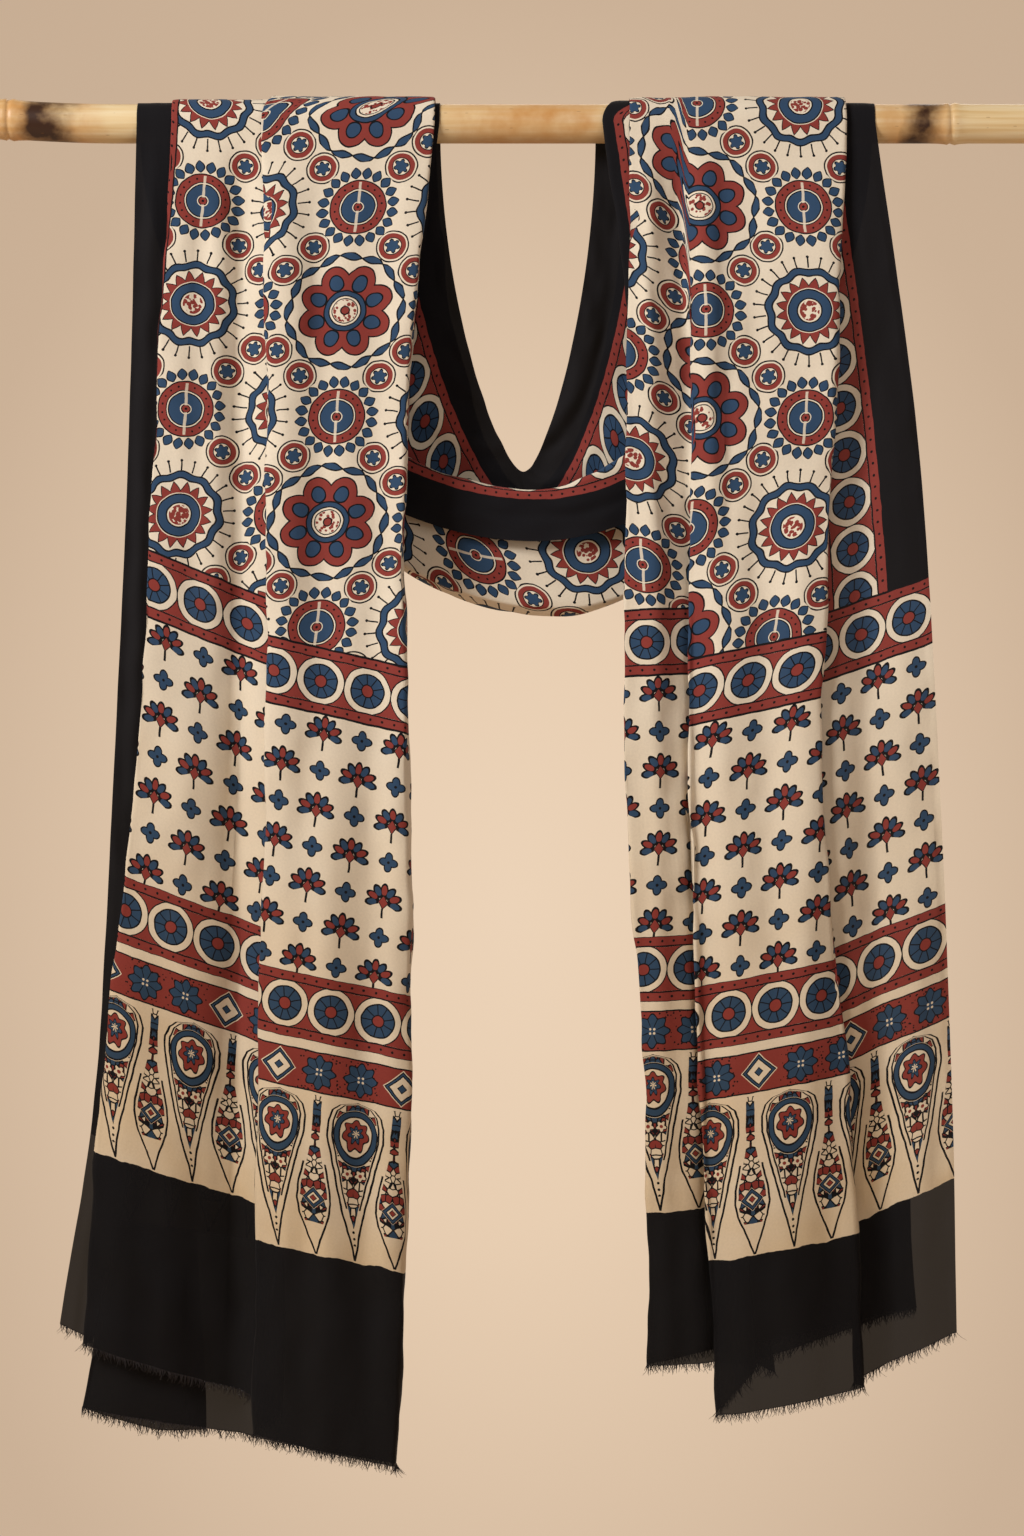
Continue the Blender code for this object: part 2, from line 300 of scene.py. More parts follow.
def sun_motif(put, radius, angle, speckle):
    """A speckled heart, a blue ring, a sixteen-pointed red sun, a wavy blue ring and dotted rays."""
    wave = put("Math MULTIPLY", angle, 11.0)
    wavy = put("Math MULTIPLY_ADD", put("Math SINE", wave), 0.9, radius)
    ink = rings(put, wavy, (
        (0, CREAM), (23.4, BLACK), (24.4, INDIGO), (28.0, BLACK), (29.0, CREAM)))
    off_point, _ = lobes(put, angle, 1.0, 16)
    slope = put("Math MULTIPLY", put("Math ABSOLUTE", off_point), 30.0)
    sun = put("Math SUBTRACT", put("Math ADD", radius, slope), 22.3)
    ink = outlined(put, ink, sun, MADDER)
    heart = rings(put, radius, (
        (0, CREAM), (7.6, BLACK), (8.5, INDIGO), (13.6, BLACK), (14.5, CREAM), (15.2, CREAM)))
    ink = put("MixRGB", put("Math LESS_THAN", radius, 15.1), ink, heart)
    in_heart = put("Math LESS_THAN", radius, 6.6)
    spots = put("Math MULTIPLY", put("Math LESS_THAN", speckle, 0.6), in_heart)
    ink = put("MixRGB", spots, ink, MADDER)
    off_ray, _ = lobes(put, angle, radius, 26)
    on_ray = put("Math COMPARE", off_ray, 0.0, 0.5)
    ray = put("Math MULTIPLY", on_ray, put("Math COMPARE", radius, 32.8, 4.0))
    past = put("Math SUBTRACT", radius, 36.6)
    dot = put("Math LESS_THAN", polar(put, past, off_ray)[0], 0.95)
    return put("MixRGB", put("Math MAXIMUM", ray, dot), ink, BLACK)


def disc_motif(put, radius, angle, across):
    """A blue disc in a red dotted ring, with a crown of small blue leaves."""
    ink = rings(put, radius, (
        (0, BLACK), (0.9, MADDER), (2.8, BLACK), (3.6, CREAM), (4.3, INDIGO),
        (12.2, BLACK), (13.1, CREAM), (14.0, BLACK), (14.8, MADDER), (20.8, BLACK), (21.8, CREAM)))
    off_dot, _ = lobes(put, angle, radius, 18)
    past = put("Math SUBTRACT", radius, 17.8)
    dots = put("Math LESS_THAN", polar(put, past, off_dot)[0], 0.8)
    ink = put("MixRGB", dots, ink, BLACK)
    gap = put("Math COMPARE", across, 0.0, 0.9)
    gap = put("Math MULTIPLY", gap, put("Math COMPARE", radius, 11.5, 8.5))
    ink = put("MixRGB", put("Math MULTIPLY", gap, 0.8), ink, CREAM)
    off_leaf, _ = lobes(put, angle, radius, 20)
    rise = put("Math MULTIPLY_ADD", radius, math.pi / 9.4, -math.pi * 22.4 / 9.4)
    width = put("Math MULTIPLY", put("Math SINE", rise), 3.5)
    near = put("Math COMPARE", radius, 27.1, 4.7)
    width = put("Math MULTIPLY", width, near)
    leaf = put("Math SUBTRACT", put("Math ABSOLUTE", off_leaf), width)
    leaf = put("Math ADD", leaf, put("Math SUBTRACT", 1.0, near))
    return outlined(put, ink, leaf, INDIGO)


def flower_motif(put, radius, angle, speckle):
    """Eight red petals with blue hearts round a ringed middle, in a garland of blue leaves."""
    off_petal, _ = lobes(put, angle, radius, 8)
    past = put("Math SUBTRACT", radius, 20.5)
    petal = put("Math SUBTRACT", polar(put, past, off_petal)[0], 9.6)
    ink = outlined(put, CREAM, petal, MADDER)
    wide = put("Math MULTIPLY", off_petal, 1.2)
    low = put("Math ADD", past, 1.5)
    heart = put("Math SUBTRACT", polar(put, low, wide)[0], 5.2)
    ink = outlined(put, ink, heart, INDIGO)
    middle = rings(put, radius, (
        (0, MADDER), (2.2, BLACK), (3.0, CREAM), (7.6, BLACK), (8.3, CREAM), (9.4, BLACK),
        (10.2, INDIGO), (12.6, BLACK), (13.5, CREAM)))
    ink = put("MixRGB", put("Math LESS_THAN", radius, 13.5), ink, middle)
    in_heart = put("Math COMPARE", radius, 5.2, 2.2)
    spots = put("Math MULTIPLY", put("Math LESS_THAN", speckle, 0.5), in_heart)
    ink = put("MixRGB", spots, ink, MADDER)
    turn = put("Math MULTIPLY", angle, 8.0)
    swing = put("Math MULTIPLY", put("Math SINE", turn), 0.9)
    round_it = put("Math ABSOLUTE", put("Math COSINE", turn))
    width = put("Math MULTIPLY", round_it, 2.4)
    off_line = put("Math SUBTRACT", put("Math SUBTRACT", radius, 35.4), swing)
    leaf = put("Math SUBTRACT", put("Math ABSOLUTE", off_line), width)
    return outlined(put, ink, leaf, INDIGO)


def small_rings(put, across, along):
    """Pairs of small red rings with blue hearts, on the slant between the discs, and tiny dots."""
    x, y, column, row = cell(put, across, along, FIELD_ACROSS, FIELD_ALONG)
    odd = put("Math FLOORED_MODULO", put("Math ADD", column, row), 2.0)
    side = put("Math MULTIPLY_ADD", odd, -2.0, 1.0)
    turned = put("Math MULTIPLY", y, side)
    diagonal = math.sqrt(0.5)
    a = put("Math MULTIPLY", put("Math SUBTRACT", x, turned), diagonal)
    b = put("Math MULTIPLY", put("Math ADD", x, turned), diagonal)
    past = put("Math SUBTRACT", put("Math ABSOLUTE", a), 11.7)
    radius, angle = polar(put, past, b)
    hexagon = put("Math MULTIPLY", angle, 6.0)
    bent = put("Math MULTIPLY_ADD", put("Math COSINE", hexagon), 0.6, radius)
    ring = rings(put, radius, (
        (0, CREAM), (5.4, BLACK), (6.0, MADDER), (8.9, CREAM), (10.0, BLACK), (11.0, CREAM)))
    ring = outlined(put, ring, put("Math SUBTRACT", bent, 4.2), INDIGO, 0.45)
    off_bead, _ = lobes(put, angle, radius, 6, 0.5 / 6)
    past_bead = put("Math SUBTRACT", radius, 4.5)
    bead = put("Math LESS_THAN", polar(put, past_bead, off_bead)[0], 0.9)
    ink = put("MixRGB", bead, ring, CREAM)
    beyond = put("Math SUBTRACT", put("Math ABSOLUTE", b), 16.5)
    dot = put("Math LESS_THAN", polar(put, a, beyond)[0], 0.9)
    return put("MixRGB", dot, ink, BLACK)


def nearest(put, across, along, how):
    """Place beside the nearest centre of one half of the lattice, taken as a chessboard, and its column.
    how turns the chessboard's own two coordinates into those of its nearest centre."""
    u = put("Math MULTIPLY", across, 0.5 / FIELD_ACROSS)
    v = put("Math MULTIPLY", along, 0.5 / FIELD_ALONG)
    s = how(put("Math ADD", u, v))
    t = how(put("Math SUBTRACT", u, v))
    column = put("Math ADD", s, t)
    row = put("Math SUBTRACT", s, t)
    x = put("Math MULTIPLY_ADD", column, -FIELD_ACROSS, across)
    y = put("Math MULTIPLY_ADD", row, -FIELD_ALONG, along)
    return x, y, column


def field_print(put, across, along, speckle):
    """The main field: suns and flowers on the chessboard's black squares, discs on the white ones, and
    small rings between them."""
    ink = small_rings(put, across, along)
    x, y, _ = nearest(put, across, along, lambda value: put(
        "Math", put("Math FLOOR", value), 0.5, operation="ADD"))
    radius, angle = polar(put, x, y)
    smaller = put("Math MULTIPLY", radius, 31.8 / DISC_REACH)
    disc = disc_motif(put, smaller, angle, x)
    ink = put("MixRGB", put("Math LESS_THAN", radius, DISC_REACH), ink, disc)
    x, y, column = nearest(put, across, along, lambda value: put("Math ROUND", value))
    radius, angle = polar(put, x, y)
    quarter = put("Math FLOORED_MODULO", column, 4.0)
    is_flower = put("Math COMPARE", quarter, 2.0, 0.5)
    reach = put("Math MULTIPLY_ADD", is_flower, FLOWER_REACH - SUN_REACH, SUN_REACH)
    larger = put("Math MULTIPLY", radius, 37.9 / FLOWER_REACH)
    sun = sun_motif(put, radius, angle, speckle)
    big = put("MixRGB", is_flower, sun, flower_motif(put, larger, angle, speckle))
    return put("MixRGB", put("Math LESS_THAN", radius, reach), ink, big)


def roundel_band(put, along_band, off_middle):
    """A band of blue wheels in cream circles on red, between two red stripes with black dots."""
    pitch = 31.4
    x, _, _, _ = cell(put, along_band, along_band, pitch, pitch)
    radius, angle = polar(put, x, off_middle)
    ink = rings(put, radius, (
        (0, MADDER), (3.6, BLACK), (4.4, INDIGO), (10.6, BLACK), (11.6, CREAM), (15.3, BLACK), (16.1, MADDER)))
    spoke, _ = lobes(put, angle, radius, 9)
    on_spoke = put("Math COMPARE", spoke, 0.0, 0.36)
    in_wheel = put("Math COMPARE", radius, 7.6, 3.6)
    ink = put("MixRGB", put("Math MULTIPLY", on_spoke, in_wheel), ink, BLACK)
    away = put("Math ABSOLUTE", off_middle)
    stripe = rings(put, away, ((0, CREAM), (14.6, BLACK), (15.6, MADDER), (21.0, BLACK), (22.0, BLACK)))
    ink = put("MixRGB", put("Math GREATER_THAN", away, 14.6), ink, stripe)
    step, _, _, _ = cell(put, along_band, along_band, pitch / 4, pitch)
    past = put("Math SUBTRACT", away, 18.3)
    dot = put("Math LESS_THAN", polar(put, step, past)[0], 0.85)
    return put("MixRGB", dot, ink, BLACK)


def spray_print(put, across, along):
    """Red and blue sprays of seven petals and small blue four-petalled flowers, in turn."""
    pitch = 25.4
    x, y, column, row = cell(put, across, along, pitch, pitch)
    odd = put("Math FLOORED_MODULO", put("Math ADD", column, row), 2.0)
    low = put("Math ADD", y, 1.6)
    radius, angle = polar(put, low, x)
    # Angle 0 points up the cloth here, and the fan spreads 115 degrees to each side of it.
    off_petal, number = lobes(put, angle, radius, 11.0, 0.5 / 11)
    past = put("Math SUBTRACT", radius, 8.0)
    slim = put("Math MULTIPLY", past, 0.6)
    shape = put("Math SUBTRACT", polar(put, slim, off_petal)[0], 2.45)
    fan = put("Math GREATER_THAN", put("Math ABSOLUTE", angle), 2.0)
    shape = put("Math MULTIPLY_ADD", fan, 9.0, shape)
    which = put("Math FLOORED_MODULO", number, 2.0)
    spray = outlined(put, CREAM, shape, put("MixRGB", which, INDIGO, MADDER))
    wide = put("Math MULTIPLY", put("Math ABSOLUTE", x), 1.4)
    tall = put("Math ADD", put("Math ABSOLUTE", low), wide)
    spray = outlined(put, spray, put("Math SUBTRACT", tall, 4.6), MADDER)
    on_stem = put("Math COMPARE", x, 0.0, 0.75)
    in_stem = put("Math COMPARE", y, -9.2, 3.3)
    spray = put("MixRGB", put("Math MULTIPLY", on_stem, in_stem), spray, BLACK)
    far, round_it = polar(put, x, y)
    off_small, _ = lobes(put, round_it, far, 4, 0.5 / 4)
    past_small = put("Math SUBTRACT", far, 3.6)
    petal = put("Math SUBTRACT", polar(put, past_small, off_small)[0], 2.9)
    small = outlined(put, CREAM, petal, INDIGO)
    small = put("MixRGB", put("Math LESS_THAN", far, 3.0), small, INDIGO)
    small = put("MixRGB", put("Math LESS_THAN", far, 1.0), small, BLACK)
    return put("MixRGB", odd, spray, small)


def flower_band(put, across, height, speckle):
    """A red band with blue star flowers and cream lozenges in turn."""
    pitch = 27.7
    x, _, column, _ = cell(put, across, across, pitch, pitch)
    y = put("Math SUBTRACT", height, (DROPS_TOP + FLOWER_BAND_TOP) / 2)
    radius, angle = polar(put, x, y)
    eight = put("Math COSINE", put("Math MULTIPLY", angle, 8.0))
    star = put("Math MULTIPLY_ADD", eight, -1.4, radius)
    ground = put("MixRGB", put("Math LESS_THAN", speckle, 0.26), MADDER, BLACK)
    flower = outlined(put, ground, put("Math SUBTRACT", star, 9.9), INDIGO)
    vein, _ = lobes(put, angle, radius, 8)
    on_vein = put("Math COMPARE", vein, 0.0, 0.3)
    in_vein = put("Math COMPARE", radius, 5.6, 2.6)
    flower = put("MixRGB", put("Math MULTIPLY", on_vein, in_vein), flower, BLACK)
    seed, _ = lobes(put, angle, radius, 4)
    past = put("Math SUBTRACT", radius, 2.0)
    seeds = put("Math LESS_THAN", polar(put, past, seed)[0], 0.8)
    flower = put("MixRGB", seeds, flower, CREAM)
    wide = put("Math ABSOLUTE", x)
    lozenge = put("Math ADD", put("Math ABSOLUTE", y), wide)
    diamond = rings(put, lozenge, (
        (0, INDIGO), (2.4, BLACK), (3.2, CREAM), (8.0, BLACK), (9.0, INDIGO), (10.4, BLACK),
        (11.4, CREAM), (12.2, MADDER)))
    odd = put("Math FLOORED_MODULO", column, 3.0)
    ink = put("MixRGB", put("Math GREATER_THAN", odd, 1.5), flower, diamond)
    edge = put("Math GREATER_THAN", put("Math ABSOLUTE", y), 12.5)
    return put("MixRGB", edge, ink, BLACK)


def profile(put, height, rows):
    """A half width in millimetres, read from (height, half width) rows."""
    reach, widest = 110.0, 30.0
    share = put("Math DIVIDE", height, reach)
    stops = [(up / reach, (wide / widest, wide / widest, wide / widest, 1.0)) for up, wide in rows]
    ramp = put("ValToRGB", share, stops=stops)
    return put("Math MULTIPLY", ramp, widest)


def drop_print(put, across, height):
    """Drop-shaped arches that point down to the hem, wide and slim in turn, with flowers inside."""
    pitch = 52.8
    x, _, _, _ = cell(put, across, across, pitch, pitch)
    away = put("Math ABSOLUTE", x)
    wide = profile(put, height, (
        (1, 0), (20, 4.0), (45, 10.4), (66, 15.2), (80, 18.4), (90, 18.6), (97, 16.2), (101, 11.5), (104, 0)))
    slim = profile(put, height, (
        (0, 0), (12, 4.4), (26, 9.8), (35, 11.4), (44, 10.6), (58, 7.6), (72, 5.0), (104, 4.6)))
    from_slim = put("Math SUBTRACT", pitch / 2, away)
    in_wide = put("Math SUBTRACT", away, wide)
    in_slim = put("Math SUBTRACT", from_slim, slim)
    # The leaves and buds that fill the drops are the same on both sides of each drop's middle line.
    sides = put("CombineXYZ", away, height, 0.0)
    leaf = put("TexVoronoi", sides, None, 1 / 4.4, out=1)
    leaf_share = put("SeparateColor", leaf)
    leaf_edge = put("TexVoronoi", sides, None, 1 / 4.4, feature="DISTANCE_TO_EDGE")
    sprigs = put("ValToRGB", leaf_share, stops=[(0, CREAM), (0.34, MADDER), (0.66, INDIGO), (0.9, CREAM)])
    sprigs.node.color_ramp.interpolation = "CONSTANT"
    sprigs = put("MixRGB", put("Math LESS_THAN", leaf_edge, 0.085), sprigs, BLACK)
    ink = put("MixRGB", put("Math LESS_THAN", in_wide, -4.2), CREAM, sprigs)
    y = put("Math SUBTRACT", height, 84.0)
    longer = put("Math MULTIPLY_ADD", put("Math LESS_THAN", y, 0.0), -0.32, 1.0)
    radius, angle = polar(put, x, put("Math MULTIPLY", y, longer))
    scallop = put("Math SINE", put("Math MULTIPLY", angle, 7.0))
    bent = put("Math MULTIPLY_ADD", scallop, 1.1, radius)
    head = rings(put, radius, (
        (0, CREAM), (9.6, CREAM), (10.4, BLACK), (11.3, INDIGO), (13.9, BLACK), (14.7, CREAM)))
    palmette = rings(put, bent, (
        (0, CREAM), (1.2, BLACK), (1.9, INDIGO), (3.6, BLACK), (4.4, MADDER), (7.4, BLACK), (8.3, CREAM)))
    head = put("MixRGB", put("Math LESS_THAN", bent, 8.3), head, palmette)
    ink = put("MixRGB", put("Math LESS_THAN", radius, 14.9), ink, head)
    far, turn = polar(put, put("Math SUBTRACT", away, 4.4),
                      put("Math SUBTRACT", height, 56.5))
    five = put("Math SINE", put("Math MULTIPLY", turn, 5.0))
    floret = put("Math MULTIPLY_ADD", five, 0.7, far)
    ink = outlined(put, ink, put("Math SUBTRACT", floret, 3.4), CREAM, 0.4)
    ink = put("MixRGB", put("Math LESS_THAN", far, 1.2), ink, MADDER)
    ink = put("MixRGB", put("Math LESS_THAN", in_slim, -1.9), ink, sprigs)
    low = put("Math SUBTRACT", height, 37.0)
    slant = put("Math ADD", put("Math ABSOLUTE", low), from_slim)
    kite = rings(put, slant, (
        (0, MADDER), (1.9, BLACK), (2.5, CREAM), (3.9, BLACK), (4.7, INDIGO), (6.4, BLACK), (7.3, CREAM)))
    ink = put("MixRGB", put("Math LESS_THAN", slant, 7.6), ink, kite)
    near_tip = put("Math LESS_THAN", height, 21.0)
    ink = put("MixRGB", near_tip, ink, CREAM)
    _, bead_y, _, _ = cell(put, away, height, pitch, 4.2)
    beads = put("Math LESS_THAN", polar(put, away, bead_y)[0], 0.9)
    beads = put("Math MULTIPLY", beads, put("Math COMPARE", height, 16.0, 6.0))
    ink = put("MixRGB", beads, ink, BLACK)
    lines = put("Math COMPARE", in_wide, 0.0, 0.7)
    inner = put("Math COMPARE", in_wide, -3.2, 0.6)
    inner = put("Math MULTIPLY", inner, put("Math GREATER_THAN", height, 34.0))
    lines = put("Math MAXIMUM", lines, inner)
    slim_line = put("Math COMPARE", in_slim, 0.0, 0.7)
    slim_line = put("Math MULTIPLY", slim_line, put("Math LESS_THAN", height, 60.0))
    lines = put("Math MAXIMUM", lines, slim_line)
    in_reach = put("Math COMPARE", height, 52.5, 51.8)
    ink = put("MixRGB", put("Math MULTIPLY", lines, in_reach), ink, BLACK)
    return put("MixRGB", in_reach, CREAM, ink)


def printed_cotton():
    """Block-printed cotton, ajrakh dyed: thin plain weave that lets a little light through, with inks
    that sit in the thread and so vary from thread to thread. It looks soft, dry and slightly uneven."""
    made, tree, put, shader = new_material("block_printed_cotton")
    place = put("UVMap", uv_map="cloth")
    edges = put("UVMap", uv_map="edges")
    axes = put("SeparateXYZ", place).node
    wobble = put("TexNoise", place, None, 90.0, 2.0, out=1)
    shift = put("SeparateXYZ", wobble).node
    across = put("Math MULTIPLY", axes.outputs[0], 1000.0)
    along = put("Math MULTIPLY", axes.outputs[1], 1000.0)
    # Hand-cut blocks: every line wanders by some tenths of a millimetre.
    across = put("Math MULTIPLY_ADD", shift.outputs[0], 1.6, across)
    along = put("Math MULTIPLY_ADD", shift.outputs[1], 1.6, along)
    inner = put("Math MULTIPLY", put("SeparateXYZ", edges), 1000.0)
    inner = put("Math MULTIPLY_ADD", shift.outputs[0], 1.6, inner)

    is_right = put("Math GREATER_THAN", along, CLOTH_LENGTH / 2)
    from_right = put("Math SUBTRACT", CLOTH_LENGTH, along)
    from_hem = put("Math MINIMUM", along, from_right)
    black_end = put("Math MULTIPLY_ADD", is_right, BLACK_END_RIGHT - BLACK_END_LEFT, BLACK_END_LEFT)
    height = put("Math SUBTRACT", from_hem, black_end)

    speckle = put("TexVoronoi", place, None, 420.0, feature="F1")

    field_across = put("Math SUBTRACT", across, FIRST_SUN[0])
    left_lean = LEAN_LEFT[0][2] * LEAN_LEFT[0][0] / (LEAN_LEFT[0][1] - LEAN_LEFT[0][0])
    for start, end, rise in LEAN_LEFT:
        stretch = put("MapRange", field_across, start, end, 0.0, rise)
        left_lean = put("Math ADD", left_lean, stretch)
    right_lean = put("Math MULTIPLY", field_across, LEAN_RIGHT)
    share = put("MapRange", along, SWAG_START, SWAG_END)
    to_right = put("Math SUBTRACT", right_lean, left_lean)
    lean = put("Math MULTIPLY_ADD", share, to_right, left_lean)
    field_along = put("Math SUBTRACT", put("Math ADD", along, lean), FIRST_SUN[1])
    ink = field_print(put, field_across, field_along, speckle)

    # The side borders: black, then a roundel band, along both selvedges beside the field.
    to_edge = put("Math MINIMUM", across, inner)
    side = put("Math SUBTRACT", to_edge, BLACK_EDGE + SIDE_BAND / 2)
    in_side = put("Math COMPARE", side, 0.0, SIDE_BAND / 2)
    ink = put("MixRGB", in_side, ink, roundel_band(put, along, side))

    upper = put("Math SUBTRACT", height, (SPRAYS_TOP + UPPER_BAND_TOP) / 2)
    lower = put("Math SUBTRACT", height, (CREAM_LINE_TOP + LOWER_BAND_TOP) / 2)
    for top, below in (
            (UPPER_BAND_TOP, roundel_band(put, across, upper)),
            (SPRAYS_TOP, spray_print(put, across, height)),
            (LOWER_BAND_TOP, roundel_band(put, across, lower)),
            (CREAM_LINE_TOP, CREAM),
            (FLOWER_BAND_TOP, flower_band(put, across, height, speckle)),
            (DROPS_TOP, drop_print(put, across, height))):
        ink = put("MixRGB", put("Math LESS_THAN", height, top), ink, below)

    # Solid black: the side edges and the two ends, whose top edge was brushed on by hand.
    ragged = put("TexNoise", place, None, 60.0, 4.0)
    ragged_height = put("Math MULTIPLY_ADD", ragged, 6.0, height)
    in_end = put("Math LESS_THAN", ragged_height, 3.0)
    in_edge = put("Math LESS_THAN", to_edge, BLACK_EDGE)
    beside = put("Math GREATER_THAN", height, UPPER_BAND_TOP)
    on_left = put("Math SUBTRACT", 1.0, is_right)
    reaches = put("Math MAXIMUM", beside, on_left)
    edge_black = put("Math MULTIPLY", in_edge, reaches)
    dyed_black = put("Math MAXIMUM", edge_black, in_end)
    ink = put("MixRGB", dyed_black, ink, BLACK)

    # The weave is drawn at 12 threads to the centimetre, coarser than real so that it shows, and the dye
    # is patchy. At scale 1 the wave pattern is taken to repeat each twentieth of 2 pi.
    fineness = math.tau / 20 / (THREAD_PITCH * MM)
    warp = put("TexWave", place, fineness, 0.6, 1.0, 2.0, bands_direction="X")
    weft = put("TexWave", place, fineness, 0.6, 1.0, 2.0, bands_direction="Y")
    weave = put("Math MULTIPLY", warp, weft)
    patch = put("TexNoise", place, None, 14.0, 5.0)
    slub = put("TexNoise", place, None, 700.0, 2.0)
    tone = put("Math MULTIPLY_ADD", patch, 0.22, 0.84)
    tone = put("Math MULTIPLY_ADD", slub, 0.16, tone)
    tone = put("Math MULTIPLY_ADD", weave, 0.1, tone)
    ink = put("HueSaturation", 0.5, 1.0, tone, 1.0, ink)
    # The ground is browner and a little darker towards the two ends.
    toward_ends = put("MapRange", height, 420.0, -10.0, 0.0, 1.0)
    toward_ends = put("Math MULTIPLY", toward_ends, put("Math MULTIPLY_ADD", patch, 1.3, 0.2))
    browner_darker = put("MixRGB", 1.0, ink, linear("#DCCBB2"), blend_type="MULTIPLY")
    ink = put("MixRGB", toward_ends, ink, browner_darker)
    tree.links.new(ink, shader.inputs["Base Color"])
    # One layer lets a little light through, and most at the two black ends.
    cover = put("Math MULTIPLY_ADD", in_end, -0.035, 0.995)
    tree.links.new(cover, shader.inputs["Alpha"])
    bump = put("Bump", 0.25, 0.0003, 0.1, weave)
    tree.links.new(bump, shader.inputs["Normal"])
    shader.inputs["Roughness"].default_value = 0.82
    shader.inputs["Sheen Weight"].default_value = 0.06
    shader.inputs["Sheen Roughness"].default_value = 0.4
    shader.inputs["Specular IOR Level"].default_value = 0.15
    return made


def black_thread():
    """Frayed cotton thread, dyed black: dull, with no shine."""
    made, tree, put, shader = new_material("frayed_black_thread")
    place = put("TexCoord", out=3)
    tone = put("TexNoise", place, None, 400.0)
    colour = put("MixRGB", tone, BLACK, linear("#3A3130"))
    tree.links.new(colour, shader.inputs["Base Color"])
    shader.inputs["Roughness"].default_value = 0.9
    return made


def flamed_bamboo():
    """Bamboo skin, dried and marked with a flame: pale straw with fine streaks along the cane, toasted
    orange in places and scorched brown beside the knots, under a low natural polish."""
    made, tree, put, shader = new_material("flamed_bamboo_skin")
    place = put("TexCoord", out=3)
    axes = put("SeparateXYZ", place).node
    long_way = put("Mapping", place, None, None, (6.0, 180.0, 180.0))
    streaks = put("TexNoise", long_way, None, 1.6, 4.0)
    colour = put("ValToRGB", streaks, stops=[
        (0.3, linear("#E0BE86")), (0.5, linear("#EDD3A2")), (0.72, linear("#F4E2BC"))])
    ragged = put("TexNoise", place, None, 38.0, 4.0)
    along = put("Math MULTIPLY_ADD", put("Math SUBTRACT", ragged, 0.5), 0.03, axes.outputs[0])
    toasted = put("ValToRGB", put("Math MULTIPLY_ADD", along, 1.0, 0.5), stops=[
        (0.150, (0, 0, 0, 1)), (0.165, (1, 1, 1, 1)), (0.215, (1, 1, 1, 1)), (0.232, (0, 0, 0, 1)),
        (0.440, (0, 0, 0, 1)), (0.475, (1, 1, 1, 1)), (0.545, (1, 1, 1, 1)), (0.572, (0, 0, 0, 1)),
        (0.735, (0, 0, 0, 1)), (0.750, (1, 1, 1, 1)), (0.786, (1, 1, 1, 1)), (0.800, (0, 0, 0, 1))])
    blotch = put("TexNoise", place, None, 55.0, 5.0)
    patchy = put("Math MULTIPLY_ADD", blotch, 1.6, -0.2)
    heat = put("Math MULTIPLY", toasted, patchy)
    colour = put("MixRGB", heat, colour, linear("#CE9350"))
    scorched = put("ValToRGB", put("Math MULTIPLY_ADD", along, 1.0, 0.5), stops=[
        (0.172, (0, 0, 0, 1)), (0.182, (1, 1, 1, 1)), (0.205, (1, 1, 1, 1)), (0.216, (0, 0, 0, 1)),
        (0.758, (0, 0, 0, 1)), (0.768, (1, 1, 1, 1)), (0.778, (1, 1, 1, 1)), (0.788, (0, 0, 0, 1))])
    sharper = put("Math MULTIPLY_ADD", blotch, 2.2, -0.3)
    burn = put("Math MULTIPLY", scorched, sharper)
    colour = put("MixRGB", burn, colour, linear("#3A2114"))
    fleck = put("TexVoronoi", put("Mapping", place, None, None, (60.0, 260.0, 260.0)), None, 1.0)
    specks = put("Math LESS_THAN", fleck, 0.09)
    colour = put("MixRGB", put("Math MULTIPLY", specks, 0.4), colour, linear("#8A5A2C"))
    tree.links.new(colour, shader.inputs["Base Color"])
    bump = put("Bump", 0.2, 0.0004, 0.1, streaks)
    tree.links.new(bump, shader.inputs["Normal"])
    shader.inputs["Roughness"].default_value = 0.42
    shader.inputs["IOR"].default_value = 1.5
    return made


def sawn_bamboo():
    """The cane's sawn end: paler, dry and open-grained."""
    made, tree, put, shader = new_material("sawn_bamboo_end")
    grain = put("TexVoronoi", put("TexCoord", out=3), None, 900.0)
    colour = put("ValToRGB", grain, stops=[(0.2, linear("#B98F55")), (0.6, linear("#E6CC98"))])
    tree.links.new(colour, shader.inputs["Base Color"])
    shader.inputs["Roughness"].default_value = 0.85
    return made


def new_object(name, points, faces, material):
    mesh = bpy.data.meshes.new(name)
    mesh.from_pydata(np.asarray(points).tolist(), [], faces)
    mesh.materials.append(material)
    mesh.shade_smooth()
    made = bpy.data.objects.new(name, mesh)
    bpy.context.scene.collection.objects.link(made)
    return made


def share_of_run(step, length):
    """Where a column stands along its run, as a share of the run's length."""
    near = min(FOLD_NEAR / length, NEAR_MOST)
    return float(np.interp(step, (0, BESIDE_FOLD, 1 - BESIDE_FOLD, 1), (0, near, 1 - near, 1)))


def fold_rounds(lengths, ways):
    """How far each fold falls short of a sharp corner: not at all where the cloth doesn't turn back."""
    rounds = [0.0]
    for before in range(len(lengths) - 1):
        turns_back = ways[before] != ways[before + 1]
        shorter = min(lengths[before], lengths[before + 1])
        rounds.append(min(FOLD_ROUND, shorter * ROUND_MOST) if turns_back else 0.0)
    return [*rounds, 0.0]


